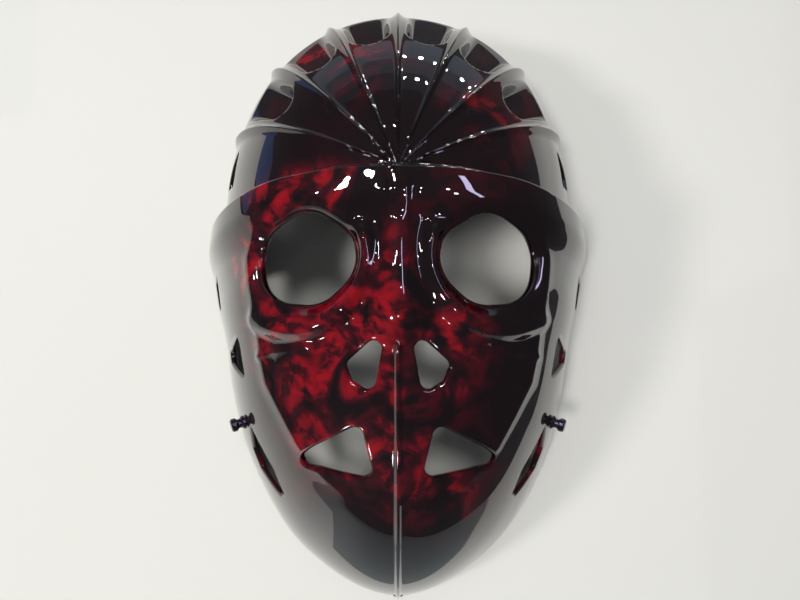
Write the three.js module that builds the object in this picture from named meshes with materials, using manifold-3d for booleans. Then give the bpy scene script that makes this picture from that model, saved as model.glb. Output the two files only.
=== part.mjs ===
// A moulded goaltender's face mask, lying face up on its rim.
//
// Millimetres. +X is across the face, +Y runs from the chin to the forehead and +Z points out of the face.
// The plane of the rim is Z = 0. The face is laid out around a point a little nearer the forehead than the
// middle of the mask's length, and the finished mask is moved by MIDDLE to bring its middle to the origin.
// The shell is a dome around the middle of the brow, raised and sunk along the dome's normals by the
// brow ledge, goggle rings, nose, ribs and scoops. One half is described, and X is mirrored.

import * as THREE from "three";
import Module from "manifold-3d";

const DEGREE = Math.PI / 180;

// Driving dimensions of the dome.
const WALL = 3; // thickness of the moulded shell
const MIDDLE = 1.8; // the move of the whole mask along Y
const BROW_Y = 40; // the middle of the brow, where every profile of the dome starts
const CROWN = 104; // height of the dome there
const LEAN = -0.08; // slope of the dome there, down towards the forehead
const PAST_RIM = 1.02; // the dome runs on a little under the rim before it is cut level

// One profile of the dome in each row, from the brow out to the rim. The angle is 90 at the top of the
// forehead, 0 at the temple and -90 at the chin. A profile is a cubic Bezier curve. front and side place its
// two handles, as shares of the distance to the rim, and sideUp is the height of the second handle.
const PROFILES = [
  { angle: -90, rim: 181.5, front: 0.52, side: 0.87, sideUp: 80 },
  { angle: -75, rim: 166.5, front: 0.53, side: 0.86, sideUp: 80 },
  { angle: -60, rim: 140, front: 0.55, side: 0.83, sideUp: 80 },
  { angle: -45, rim: 116.5, front: 0.58, side: 0.8, sideUp: 80 },
  { angle: -30, rim: 99.5, front: 0.6, side: 0.78, sideUp: 80 },
  { angle: -15, rim: 93, front: 0.6, side: 0.77, sideUp: 79 },
  { angle: 0, rim: 88, front: 0.56, side: 0.79, sideUp: 77 },
  { angle: 25, rim: 89.5, front: 0.46, side: 0.85, sideUp: 74 },
  { angle: 48, rim: 94, front: 0.42, side: 0.9, sideUp: 75 },
  { angle: 69, rim: 97, front: 0.4, side: 0.94, sideUp: 75 },
  { angle: 90, rim: 98, front: 0.4, side: 0.95, sideUp: 75 },
];

// The brow ledge: the face stands proud of the forehead below this line, most of all in a band at the ledge.
const BROW_LINE = [
  { x: 0, y: 39.6 },
  { x: 20, y: 39 },
  { x: 32, y: 37.8 },
  { x: 45, y: 36.6 },
  { x: 60, y: 34 },
  { x: 72, y: 32.6 },
  { x: 90, y: 33 },
];
const BROW = { step: 6, ramp: 4, band: 9, plateau: 21, plateauShare: 0.5, fadeFrom: 34, fadeTo: 60 };

// The raised ring under and inside each eye, an arc around its own centre.
const GOGGLE = { x: 38, y: 8, radius: 26.6, height: 3.8, inside: 7, outside: 5.8 };
const GOGGLE_ARC = { from: 148, full: 172, fullTo: 292, to: 318 };
// The surface rolls inwards over this width all round each eye opening, more and more steeply.
const SOCKET = { depth: 4.2, roll: 5.4 };

// The nose, from the brow down to its base: how far it stands out, and its half width.
const NOSE = [
  { y: -30, height: 0, width: 12 },
  { y: -26, height: 0.8, width: 13 },
  { y: -22, height: 3, width: 14.5 },
  { y: -18, height: 5.6, width: 16 },
  { y: -14, height: 7.4, width: 16.5 },
  { y: -10, height: 7.8, width: 15.5 },
  { y: -5, height: 7.2, width: 13.5 },
  { y: 0, height: 6.2, width: 12 },
  { y: 12, height: 4.2, width: 10.2 },
  { y: 24, height: 2.2, width: 9.6 },
  { y: 36, height: 0.5, width: 9 },
  { y: 42, height: 0, width: 9 },
];

// The fine raised lines: a bead round the front of the face, a crease under the cheek, the rib down the
// lower face and the flat band down the bridge of the nose.
const FRAME_LINE = [
  { x: 49, y: 22 },
  { x: 54.5, y: 10 },
  { x: 53.2, y: -4 },
  { x: 53.6, y: -14 },
  { x: 52.6, y: -28 },
  { x: 50.6, y: -38 },
  { x: 44.6, y: -49 },
  { x: 37.3, y: -62 },
  { x: 29, y: -73 },
  { x: 17.5, y: -84 },
];
const FRAME_BEAD = { height: 1.1, width: 5.2, bottom: -86, fullFrom: -62, fullTo: 6, top: 22 };
const CREASE_LINE = [
  { x: 33.5, y: -24.5 },
  { x: 53, y: -27.8 },
];
const CREASE_BEAD = { height: 0.9, width: 3 };
const CHIN_RIB = { top: -24, height: 1.5, width: 1.9 };
const BRIDGE_BAND = { top: 38, bottom: -14, height: 0.5, width: 4.6, edge: 1.8, fade: 9 };

// The fan of ribs over the forehead, and the thumb-shaped scoops between them.
const FAN = [24.5, 48, 69, 90];
const FAN_RIB = {
  foot: 2.8,
  start: 14,
  startHeight: 0.5,
  height: 2.4,
  reach: 92,
  lowFrom: 0.8,
  rimHeight: 1.3,
};
// A scoop drops by its wall, and its floor then runs out nearly straight through the bulge of the dome.
const SCOOP = {
  depth: 8,
  bulge: 10.4,
  from: 0.465,
  to: 0.735,
  bow: 0.05,
  wall: 0.045,
  halfAngle: 8.2,
  flat: 0.6,
};

// Openings. Each outline is the band of the given radius round its corners, so they are arc centres.
// Front openings are cut along Z, with corners measured across X and along Y from the middle x, y.
// steps is how many straight stretches go round the outline.
const EYE = {
  name: "eye",
  x: 33.1,
  y: 6.8,
  radius: 13.6,
  steps: 28,
  corners: [
    { across: -4.4, along: 0 },
    { across: 0, along: 2.7 },
    { across: 4.4, along: 0.5 },
    { across: 4, along: -2.2 },
    { across: -1, along: -2.7 },
  ],
};
const FRONT_OPENINGS = [
  EYE,
  {
    name: "nostril",
    x: 11.8,
    y: -31.2,
    radius: 2.9,
    steps: 15,
    corners: [
      { across: -3, along: 5.4 },
      { across: 3.4, along: -0.2 },
      { across: 2.2, along: -3.6 },
      { across: -1, along: -5.6 },
    ],
  },
  {
    name: "mouth",
    x: 20.5,
    y: -64,
    radius: 3.2,
    steps: 15,
    corners: [
      { across: -4.6, along: 6.8 },
      { across: -7.4, along: -5.2 },
      { across: 12.3, along: -2 },
    ],
  },
];
// Side openings are cut square to the dome at x, y, with corners measured down its side and along it.
const SIDE_OPENINGS = [
  {
    name: "temple_vent",
    x: 75.6,
    y: 55,
    radius: 2.6,
    steps: 15,
    corners: [
      { across: -7, along: 5.5 },
      { across: -7, along: -4 },
      { across: 13, along: -0.5 },
    ],
  },
  {
    name: "ear_vent",
    x: 82.3,
    y: 3,
    radius: 2.6,
    steps: 15,
    corners: [
      { across: -4.5, along: 5 },
      { across: -4.5, along: -5 },
      { across: 6, along: -3 },
      { across: 6, along: 2.6 },
    ],
  },
  {
    name: "cheek_vent",
    x: 68.4,
    y: -27.8,
    radius: 2.4,
    steps: 15,
    corners: [
      { across: -6, along: 5.8 },
      { across: -6, along: -5.8 },
      { across: 19, along: 0 },
    ],
  },
  {
    name: "jaw_vent",
    x: 57,
    y: -72,
    radius: 2,
    steps: 18,
    corners: [
      { across: 2.4, along: 13.4 },
      { across: 10.6, along: 3.6 },
      { across: 10.4, along: -4.2 },
      { across: -2.4, along: -13.4 },
      { across: -5, along: -12.6 },
      { across: -6.6, along: -3 },
    ],
  },
];
const CUT_OUT = 16; // reach of a cutter outside the dome
const CUT_IN = 24; // and inside it

// The strap stud on each side, turned like a spool, and the plain nut that holds it from inside.
const STUD = { x: 66.8, y: -55.6, shank: 1.8, waist: 2, flange: 2.9, flangeThickness: 1, sides: 16 };
const STUD_HEAD = { radius: 2.9, start: 4.2, end: 6.4, bevel: 0.6 }; // start and end are out from the shell
const STUD_TAPER = 0.8; // length of the cones between the waist and the discs at its ends
const NUT = { radius: 3.8, thickness: 3.2, sides: 6 };
const CLEARANCE = 0.3; // gap between pieces that touch
const SHANK_TAIL = 1.2; // how far the shank runs on past the nut

// The mesh of the shell: rings by share of each profile, and the columns that the detail needs.
const RINGS = [
  0.04, 0.09, 0.135, 0.17, 0.2, 0.225, 0.25, 0.28, 0.32, 0.365, 0.41, 0.46, 0.51, 0.56, 0.615, 0.675, 0.735,
  0.81, 0.9, PAST_RIM,
];
const TEMPLE_COLUMNS = [15, 10, 5, 1, -2.5, -6, -9.5];
const FACE_COLUMNS = { from: -13.5, to: -87, count: 17 };
const RIB_COLUMNS = [-88.6, -89.4]; // beside the rib on the chin
const SCOOP_COLUMN = 4.9; // either side of the middle of a scoop
const BELOW = { across: 300, along: 400, deep: 100 }; // the block that cuts the dome level at the rim
const MERGE_STEPS = 1e4; // corners that agree to one part in this of a millimetre are one
const HALVINGS = 40; // of the share, in the search for a point of the dome
const SLOPE_STEP = 0.01; // share between the points that give the dome's slope
const ANGLE_SLACK = 1e-9; // degrees

const MATERIALS = {
  lacquer: new THREE.MeshStandardMaterial({ color: 0x3a0710, roughness: 0.08, metalness: 0.1 }),
  stud: new THREE.MeshStandardMaterial({ color: 0x1c1626, roughness: 0.25, metalness: 0.6 }),
};

const { smoothstep, lerp } = THREE.MathUtils;

// The angle between -90 and 90 that a direction has on the half that is described.
function foldedAngle(angle) {
  return Math.asin(Math.sin(angle * DEGREE)) / DEGREE;
}

// A smooth curve through a column of a table, whose rows rise in the key column.
function along(rows, key, column, at) {
  const last = rows.length - 1;
  const value = Math.min(Math.max(at, rows[0][key]), rows[last][key]);
  let i = 0;
  while (i < last - 1 && value > rows[i + 1][key]) i += 1;
  const slope = (k) => {
    if (k === 0 || k === last) return 0;
    return (rows[k + 1][column] - rows[k - 1][column]) / (rows[k + 1][key] - rows[k - 1][key]);
  };
  const span = rows[i + 1][key] - rows[i][key];
  const t = (value - rows[i][key]) / span;
  const rise = rows[i + 1][column] - rows[i][column];
  const ease = t * t * (3 - 2 * t);
  const start = t * (1 - t) * (1 - t) * span * slope(i);
  const end = t * t * (t - 1) * span * slope(i + 1);
  return rows[i][column] + rise * ease + start + end;
}

// The point of the plain dome at an angle in degrees and a share of its profile.
function dome(angle, share) {
  const sine = Math.sin(angle * DEGREE);
  const folded = foldedAngle(angle);
  const rim = along(PROFILES, "angle", "rim", folded);
  const front = along(PROFILES, "angle", "front", folded) * rim;
  const side = along(PROFILES, "angle", "side", folded) * rim;
  const sideUp = along(PROFILES, "angle", "sideUp", folded);
  const rest = 1 - share;
  const one = 3 * rest * rest * share;
  const two = 3 * rest * share * share;
  const out = one * front + two * side + share ** 3 * rim;
  const up = rest ** 3 * CROWN + one * (CROWN + LEAN * sine * front) + two * sideUp;
  return new THREE.Vector3(out * Math.cos(angle * DEGREE), BROW_Y + out * sine, up);
}

// The dome's outward normal there.
function domeNormal(angle, share) {
  const inner = Math.max(share, 2 * SLOPE_STEP);
  const outwards = dome(angle, inner + SLOPE_STEP).sub(dome(angle, inner - SLOPE_STEP));
  const round = dome(angle + 1, inner).sub(dome(angle - 1, inner));
  return outwards.cross(round).normalize();
}

// The angle and share of the dome's point above x, y.
function domeAbove(x, y) {
  const angle = Math.atan2(y - BROW_Y, x) / DEGREE;
  const reach = Math.hypot(x, y - BROW_Y);
  let low = 0;
  let high = 1;
  for (let i = 0; i < HALVINGS; i += 1) {
    const middle = (low + high) / 2;
    const point = dome(angle, middle);
    if (Math.hypot(point.x, point.y - BROW_Y) < reach) low = middle;
    else high = middle;
  }
  return { angle, share: low };
}

// Distance from x, y to a run of straight stretches.
function distanceTo(line, x, y) {
  let least = Infinity;
  for (let i = 0; i + 1 < line.length; i += 1) {
    const dx = line[i + 1].x - line[i].x;
    const dy = line[i + 1].y - line[i].y;
    const t = ((x - line[i].x) * dx + (y - line[i].y) * dy) / (dx * dx + dy * dy);
    const clamped = Math.min(Math.max(t, 0), 1);
    least = Math.min(least, Math.hypot(x - line[i].x - clamped * dx, y - line[i].y - clamped * dy));
  }
  return least;
}

// A crest with hollow flanks: full height on the line, nothing at its width.
function crest(distance, width) {
  const left = Math.max(0, 1 - distance / width);
  return left * left;
}

// How far an outline reaches from the middle of its opening in the direction of an angle.
function reachOf(opening, angle) {
  const reaches = opening.corners.map((c) => c.across * Math.cos(angle) + c.along * Math.sin(angle));
  return Math.max(...reaches) + opening.radius;
}

function browRelief(x, y) {
  const below = along(BROW_LINE, "x", "y", x) - y;
  const ledge = smoothstep(below, -BROW.ramp / 2, BROW.ramp / 2);
  const band = lerp(1, BROW.plateauShare, smoothstep(below, BROW.band, BROW.plateau));
  return BROW.step * ledge * band * (1 - smoothstep(below, BROW.fadeFrom, BROW.fadeTo));
}

function goggleRelief(x, y) {
  const offset = Math.hypot(x - GOGGLE.x, y - GOGGLE.y) - GOGGLE.radius;
  const turn = Math.atan2(y - GOGGLE.y, x - GOGGLE.x) / DEGREE;
  const around = turn < 90 ? turn + 360 : turn;
  const faded = smoothstep(around, GOGGLE_ARC.from, GOGGLE_ARC.full);
  const ends = faded * (1 - smoothstep(around, GOGGLE_ARC.fullTo, GOGGLE_ARC.to));
  const width = offset > 0 ? GOGGLE.outside : GOGGLE.inside;
  return GOGGLE.height * ends * (1 - smoothstep(Math.abs(offset), 0, width));
}

function socketRelief(x, y) {
  const angle = Math.atan2(y - EYE.y, x - EYE.x);
  const outside = Math.hypot(x - EYE.x, y - EYE.y) - reachOf(EYE, angle);
  return -SOCKET.depth * crest(Math.max(outside, 0), SOCKET.roll);
}

function noseRelief(x, y) {
  const width = along(NOSE, "y", "width", y);
  return along(NOSE, "y", "height", y) * (1 - smoothstep(x / width, 0, 1));
}

function scoopRelief(angle, share) {
  const folded = foldedAngle(angle);
  if (folded < FAN[0]) return 0;
  const next = FAN.findIndex((rib) => rib >= folded - ANGLE_SLACK);
  const middle = (FAN[Math.max(next, 1)] + FAN[Math.max(next, 1) - 1]) / 2;
  const aside = Math.abs(folded - middle) / SCOOP.halfAngle;
  const start = SCOOP.from + SCOOP.bow * aside * aside;
  const wall = smoothstep(share, start, start + SCOOP.wall);
  const left = Math.max(0, (SCOOP.to - share) / (SCOOP.to - SCOOP.from));
  const floor = left * (SCOOP.depth + SCOOP.bulge * (1 - left));
  return -wall * floor * (1 - smoothstep(aside, SCOOP.flat, 1));
}

// What shapes both faces of the wall, at a point of the dome.
function formRelief(point, angle, share) {
  const x = Math.abs(point.x);
  const face = browRelief(x, point.y) + goggleRelief(x, point.y) + socketRelief(x, point.y);
  return face + noseRelief(x, point.y) + scoopRelief(angle, share);
}

// What is raised on the outer face alone.
function detailRelief(point, angle, share) {
  const x = Math.abs(point.x);
  const y = point.y;
  const frame = smoothstep(y, FRAME_BEAD.bottom, FRAME_BEAD.fullFrom);
  const framed = frame * (1 - smoothstep(y, FRAME_BEAD.fullTo, FRAME_BEAD.top));
  let height = FRAME_BEAD.height * framed * crest(distanceTo(FRAME_LINE, x, y), FRAME_BEAD.width);
  height += CREASE_BEAD.height * crest(distanceTo(CREASE_LINE, x, y), CREASE_BEAD.width);
  if (y < CHIN_RIB.top) height += CHIN_RIB.height * (1 - smoothstep(x, 0, CHIN_RIB.width));
  const flat = 1 - smoothstep(x, BRIDGE_BAND.width - BRIDGE_BAND.edge, BRIDGE_BAND.width);
  const above = smoothstep(y, BRIDGE_BAND.bottom, BRIDGE_BAND.bottom + BRIDGE_BAND.fade);
  const below = 1 - smoothstep(y, BRIDGE_BAND.top - BRIDGE_BAND.fade, BRIDGE_BAND.top);
  height += BRIDGE_BAND.height * flat * above * below;
  const folded = foldedAngle(angle);
  const reach = Math.hypot(x, y - BROW_Y);
  const full = lerp(FAN_RIB.height, FAN_RIB.rimHeight, smoothstep(share, FAN_RIB.lowFrom, 1));
  for (const rib of FAN) {
    const grown = lerp(FAN_RIB.startHeight, full, reach / FAN_RIB.reach);
    const tall = grown * smoothstep(reach, 0, FAN_RIB.start);
    height += tall * crest(Math.abs(folded - rib), FAN_RIB.foot);
  }
  return height;
}

function mirrored(angle) {
  return 180 - angle;
}

// The angles of the shell's columns, all the way round.
function columnAngles() {
  const half = [];
  FAN.forEach((rib, i) => {
    half.push(rib);
    half.push(rib - FAN_RIB.foot);
    if (rib < 90) half.push(rib + FAN_RIB.foot);
    if (i === 0) return;
    const middle = (rib + FAN[i - 1]) / 2;
    half.push(middle, middle - SCOOP_COLUMN, middle + SCOOP_COLUMN);
  });
  half.push(...TEMPLE_COLUMNS, ...RIB_COLUMNS);
  const { from, to, count } = FACE_COLUMNS;
  for (let i = 0; i < count; i += 1) half.push(lerp(from, to, i / (count - 1)));
  const whole = [...half, ...half.filter((a) => a < 90).map(mirrored), -90];
  return whole.map((a) => (a + 450) % 360).sort((a, b) => a - b).map((a) => a - 90);
}

// A closed manifold-3d solid from shared vertices and triangles.
function solid(wasm, points, triangles) {
  const mesh = new wasm.Mesh({
    numProp: 3,
    vertProperties: new Float32Array(points.flatMap((p) => [p.x, p.y, p.z])),
    triVerts: new Uint32Array(triangles.flat()),
  });
  return new wasm.Manifold(mesh);
}

// The wall before it is cut: its outer and inner faces, joined under the rim.
function rawShell(wasm) {
  const angles = columnAngles();
  const count = angles.length;
  const outer = [];
  const inner = [];
  const place = (angle, share) => {
    const point = dome(angle, share);
    const normal = domeNormal(angle, share);
    const form = formRelief(point, angle, share);
    outer.push(point.clone().addScaledVector(normal, form + detailRelief(point, angle, share)));
    inner.push(point.clone().addScaledVector(normal, form - WALL));
  };
  place(90, 0);
  for (const share of RINGS) for (const angle of angles) place(angle, share);
  const offset = outer.length;
  const at = (ring, column) => 1 + ring * count + (column % count);
  const triangles = [];
  const both = (a, b, c) => {
    triangles.push([a, b, c]);
    triangles.push([offset + a, offset + c, offset + b]);
  };
  for (let i = 0; i < count; i += 1) {
    both(0, at(0, i), at(0, i + 1));
    for (let ring = 0; ring + 1 < RINGS.length; ring += 1) {
      // The faces are split alike on both halves, so that the halves mirror each other.
      const split = angles[i] >= -90 && angles[i] < 90;
      const corners = [at(ring, i), at(ring + 1, i), at(ring + 1, i + 1), at(ring, i + 1)];
      const [a, b, c, d] = split ? corners : [...corners.slice(1), corners[0]];
      both(a, b, c);
      both(a, c, d);
    }
    const last = RINGS.length - 1;
    triangles.push([at(last, i), offset + at(last, i), offset + at(last, i + 1)]);
    triangles.push([at(last, i), offset + at(last, i + 1), at(last, i + 1)]);
  }
  return solid(wasm, [...outer, ...inner], triangles);
}

// A three.js geometry as a manifold-3d solid, with equal positions merged.
function solidOf(wasm, geometry) {
  const flat = geometry.index ? geometry.toNonIndexed() : geometry;
  const position = flat.getAttribute("position");
  const points = [];
  const seen = new Map();
  const order = [];
  for (let i = 0; i < position.count; i += 1) {
    const point = new THREE.Vector3().fromBufferAttribute(position, i);
    const key = point.toArray().map((v) => Math.round(v * MERGE_STEPS)).join();
    if (!seen.has(key)) seen.set(key, points.push(point) - 1);
    order.push(seen.get(key));
  }
  const triangles = [];
  for (let i = 0; i < order.length; i += 3) {
    const [a, b, c] = order.slice(i, i + 3);
    if (a !== b && b !== c && c !== a) triangles.push([a, b, c]);
  }
  return solid(wasm, points, triangles);
}

// The axes of a place on the side of the dome: down its slope, along it and out of it.
function sideFrame(x, y, side) {
  const { angle, share } = domeAbove(x, y);
  const origin = dome(angle, share);
  const normal = domeNormal(angle, share);
  origin.x *= side;
  normal.x *= side;
  const alongIt = new THREE.Vector3(0, 1, 0);
  alongIt.addScaledVector(normal, -normal.y).normalize();
  const across = alongIt.clone().cross(normal);
  return new THREE.Matrix4().makeBasis(across, alongIt, normal).setPosition(origin);
}

function outlineOf(opening, side) {
  const points = [];
  for (let i = 0; i < opening.steps; i += 1) {
    const angle = (i / opening.steps) * 2 * Math.PI;
    const x = Math.cos(angle);
    const y = Math.sin(angle);
    const furthest = opening.corners.reduce((best, c) => {
      const reach = side * c.across * x + c.along * y;
      return reach > best.reach ? { reach, corner: c } : best;
    }, { reach: -Infinity });
    const { across, along: up } = furthest.corner;
    points.push(new THREE.Vector2(side * across + opening.radius * x, up + opening.radius * y));
  }
  return new THREE.Shape(points);
}

// The prism that cuts one opening through the wall on one side.
function cutter(wasm, opening, side, frame) {
  const shape = outlineOf(opening, side);
  const geometry = new THREE.ExtrudeGeometry(shape, { depth: CUT_OUT + CUT_IN, bevelEnabled: false });
  geometry.translate(0, 0, -CUT_IN);
  geometry.applyMatrix4(frame);
  return solidOf(wasm, geometry);
}

function frontFrame(opening, side) {
  const { angle, share } = domeAbove(opening.x, opening.y);
  return new THREE.Matrix4().setPosition(side * opening.x, opening.y, dome(angle, share).z);
}

function studHole(wasm, side) {
  const length = CUT_OUT + CUT_IN;
  const radius = STUD.shank + CLEARANCE;
  const geometry = new THREE.CylinderGeometry(radius, radius, length, STUD.sides);
  geometry.rotateX(Math.PI / 2);
  geometry.applyMatrix4(sideFrame(STUD.x, STUD.y, side));
  return solidOf(wasm, geometry);
}

// The finished shell: cut level at the rim and opened for the eyes, nose, mouth, vents and studs.
function shellGeometry(wasm) {
  const below = new THREE.BoxGeometry(BELOW.across, BELOW.along, BELOW.deep);
  below.translate(0, 0, -BELOW.deep / 2);
  let shell = rawShell(wasm).subtract(solidOf(wasm, below));
  for (const side of [-1, 1]) {
    for (const opening of FRONT_OPENINGS) {
      shell = shell.subtract(cutter(wasm, opening, side, frontFrame(opening, side)));
    }
    for (const opening of SIDE_OPENINGS) {
      shell = shell.subtract(cutter(wasm, opening, side, sideFrame(opening.x, opening.y, side)));
    }
    shell = shell.subtract(studHole(wasm, side));
  }
  const mesh = shell.getMesh();
  const geometry = new THREE.BufferGeometry();
  geometry.setAttribute("position", new THREE.BufferAttribute(mesh.vertProperties, 3));
  geometry.setIndex(new THREE.BufferAttribute(mesh.triVerts, 1));
  geometry.computeVertexNormals();
  return geometry;
}

// The stud's half section, from its inner end to the flat of its head. Z is out from the shell.
function studGeometry() {
  const tail = -(WALL + CLEARANCE + NUT.thickness + SHANK_TAIL);
  const flangeTop = CLEARANCE + STUD.flangeThickness;
  const section = [
    [0, tail],
    [STUD.shank, tail],
    [STUD.shank, CLEARANCE],
    [STUD.flange, CLEARANCE],
    [STUD.flange, flangeTop],
    [STUD.waist, flangeTop + STUD_TAPER],
    [STUD.waist, STUD_HEAD.start - STUD_TAPER],
    [STUD_HEAD.radius, STUD_HEAD.start],
    [STUD_HEAD.radius, STUD_HEAD.end - STUD_HEAD.bevel],
    [STUD_HEAD.radius - STUD_HEAD.bevel, STUD_HEAD.end],
    [0, STUD_HEAD.end],
  ].map(([x, y]) => new THREE.Vector2(x, y));
  return new THREE.LatheGeometry(section, STUD.sides).rotateX(Math.PI / 2);
}

// The nut, bored clear of the shank, against the inner face of the wall.
function nutGeometry() {
  const bore = STUD.shank + CLEARANCE;
  const front = -(WALL + CLEARANCE);
  const section = [
    [bore, front - NUT.thickness],
    [NUT.radius, front - NUT.thickness],
    [NUT.radius, front],
    [bore, front],
    [bore, front - NUT.thickness],
  ].map(([x, y]) => new THREE.Vector2(x, y));
  return new THREE.LatheGeometry(section, NUT.sides).rotateX(Math.PI / 2);
}

function piece(name, geometry, material) {
  const mesh = new THREE.Mesh(geometry, material);
  mesh.name = name;
  return mesh;
}

const wasm = await Module();
wasm.setup();

const mask = new THREE.Group();
mask.position.y = MIDDLE;
mask.add(piece("shell", shellGeometry(wasm), MATERIALS.lacquer));
for (const [sideName, side] of Object.entries({ left: -1, right: 1 })) {
  const fixing = new THREE.Group();
  fixing.applyMatrix4(sideFrame(STUD.x, STUD.y, side));
  fixing.add(piece(`strap_stud_${sideName}`, studGeometry(), MATERIALS.stud));
  fixing.add(piece(`stud_nut_${sideName}`, nutGeometry(), MATERIALS.stud));
  mask.add(fixing);
}

export default mask;
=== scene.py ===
"""The looks of a moulded goaltender's face mask, lying face up: its lacquered shell, strap studs and nuts."""

import math

import bpy
import numpy as np
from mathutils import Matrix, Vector


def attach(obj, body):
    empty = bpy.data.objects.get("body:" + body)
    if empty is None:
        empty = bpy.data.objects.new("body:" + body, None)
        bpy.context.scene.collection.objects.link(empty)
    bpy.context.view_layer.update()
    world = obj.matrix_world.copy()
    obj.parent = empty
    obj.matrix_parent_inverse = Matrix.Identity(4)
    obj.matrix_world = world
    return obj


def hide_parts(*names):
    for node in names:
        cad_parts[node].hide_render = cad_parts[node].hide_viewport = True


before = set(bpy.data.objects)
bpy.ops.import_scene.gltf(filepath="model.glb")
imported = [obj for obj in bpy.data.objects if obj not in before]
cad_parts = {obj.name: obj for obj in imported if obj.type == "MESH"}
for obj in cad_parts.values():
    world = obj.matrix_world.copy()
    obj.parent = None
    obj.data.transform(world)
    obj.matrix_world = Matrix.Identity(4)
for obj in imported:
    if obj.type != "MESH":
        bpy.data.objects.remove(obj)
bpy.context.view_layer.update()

bl_info = {
    "name": "Goaltender's mask",
    "version": (1, 0, 0),
    "blender": (4, 5, 0),
    "location": "View3D > Sidebar > Mask",
    "description": "Models the shell, studs and finishes of a moulded face mask",
    "category": "Add Mesh",
}

MM = 0.001  # the tables below are in millimetres, as the mask is laid out
MIDDLE = 1.8  # the layout's origin lies this far towards the forehead from the middle of the mask
TINY = 1e-9  # keeps a length that is divided by above nothing


def table(columns, *rows):
    """A short table with named columns."""
    return {name: np.array(column, float) for name, column in zip(columns.split(), zip(*rows))}


# The plain dome: one profile in each row, from the middle of the brow out to the rim. A profile is a cubic
# Bezier curve, with its handles placed by front and side, shares of the distance to the rim, and side_up.
BROW_Y = 40
CROWN = 104  # the height of the dome at the middle of the brow
LEAN = -0.08  # how the dome rises there towards the forehead
PROFILES = table(
    "angle rim front side side_up",
    (-90, 181.5, 0.52, 0.87, 80),
    (-75, 166.5, 0.53, 0.86, 80),
    (-60, 140, 0.55, 0.83, 80),
    (-45, 116.5, 0.58, 0.8, 80),
    (-30, 99.5, 0.6, 0.78, 80),
    (-15, 93, 0.6, 0.77, 79),
    (0, 88, 0.56, 0.79, 77),
    (25, 89.5, 0.46, 0.85, 74),
    (48, 94, 0.42, 0.9, 75),
    (69, 97, 0.4, 0.94, 75),
    (90, 98, 0.4, 0.95, 75),
)

# The brow ledge, the goggle rings and the hollows round the eyes.
BROW_LINE = table("x y", (0, 39.6), (20, 39), (32, 37.8), (45, 36.6), (60, 34), (72, 32.6), (90, 33))
BROW = {"ramp": 4, "band": 9, "plateau": 21, "plateau_share": 0.5, "fade_from": 34, "fade_to": 60}
GOGGLE = {"x": 38, "y": 8, "radius": 26.6, "inside": 7, "outside": 5.8}
GOGGLE_ARC = {"start": 148, "full": 172, "full_to": 292, "stop": 318}
SOCKET = {"depth": 4.2, "roll": 5.4}

NOSE = table(
    "y height width",
    (-30, 0, 12),
    (-26, 0.8, 13),
    (-22, 3, 14.5),
    (-18, 5.6, 16),
    (-14, 7.4, 16.5),
    (-10, 7.8, 15.5),
    (-5, 7.2, 13.5),
    (0, 6.2, 12),
    (12, 4.2, 10.2),
    (24, 2.2, 9.6),
    (36, 0.5, 9),
    (42, 0, 9),
)

# The fine raised lines.
FRAME_LINE = table(
    "x y",
    (49, 22),
    (54.5, 10),
    (53.2, -4),
    (53.6, -14),
    (52.6, -28),
    (50.6, -38),
    (44.6, -49),
    (37.3, -62),
    (29, -73),
    (17.5, -84),
)
FRAME_BEAD = {"height": 1.1, "width": 5.2, "bottom": -86, "full_from": -62, "full_to": 6, "top": 22}
CREASE_LINE = table("x y", (33.5, -24.5), (53, -27.8))
CREASE_BEAD = {"height": 0.9, "width": 3}
CHIN_RIB = {"top": -24, "height": 1.5, "width": 1.9}
BRIDGE_BAND = {"top": 38, "bottom": -14, "height": 0.5, "width": 4.6, "edge": 1.8, "fade": 9}

# The fan of ribs over the forehead and the scoops between them.
FAN = (24.5, 48, 69, 90)
FAN_RIB = {"foot": 2.8, "start": 14, "start_height": 0.5, "reach": 92, "low_from": 0.8, "rim_height": 1.3}
SCOOP = {
    "bulge": 10.4,
    "start": 0.465,
    "stop": 0.735,
    "bow": 0.05,
    "wall": 0.045,
    "half_angle": 8.2,
    "flat": 0.6,
}

# The openings on the right half. Each has its middle, its corners as counted from there, and the radius that
# rounds them. The front ones are laid out square on from the front. The side ones lie on the slope of the
# dome, and their corners are counted down the slope and towards the forehead.
EYE = {
    "x": 33.1,
    "y": 6.8,
    "radius": 13.6,
    "corners": ((-4.4, 0), (0, 2.7), (4.4, 0.5), (4, -2.2), (-1, -2.7)),
}
NOSTRIL = {
    "x": 11.8,
    "y": -31.2,
    "radius": 2.9,
    "corners": ((-3, 5.4), (3.4, -0.2), (2.2, -3.6), (-1, -5.6)),
}
MOUTH = {"x": 20.5, "y": -64, "radius": 3.2, "corners": ((-4.6, 6.8), (12.3, -2), (-7.4, -5.2))}
FRONT_OPENINGS = (EYE, NOSTRIL, MOUTH)
TEMPLE_VENT = {"x": 75.6, "y": 55, "radius": 2.6, "corners": ((-7, 5.5), (13, -0.5), (-7, -4))}
EAR_VENT = {"x": 82.3, "y": 3, "radius": 2.6, "corners": ((-4.5, 5), (6, 2.6), (6, -3), (-4.5, -5))}
CHEEK_VENT = {"x": 68.4, "y": -27.8, "radius": 2.4, "corners": ((-6, 5.8), (19, 0), (-6, -5.8))}
JAW_VENT = {
    "x": 57,
    "y": -72,
    "radius": 2,
    "corners": ((2.4, 13.4), (10.6, 3.6), (10.4, -4.2), (-2.4, -13.4), (-5, -12.6), (-6.6, -3)),
}
SIDE_OPENINGS = (TEMPLE_VENT, EAR_VENT, CHEEK_VENT, JAW_VENT)
SIDE_REACH = 40  # a side opening is looked for this near its middle

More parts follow.
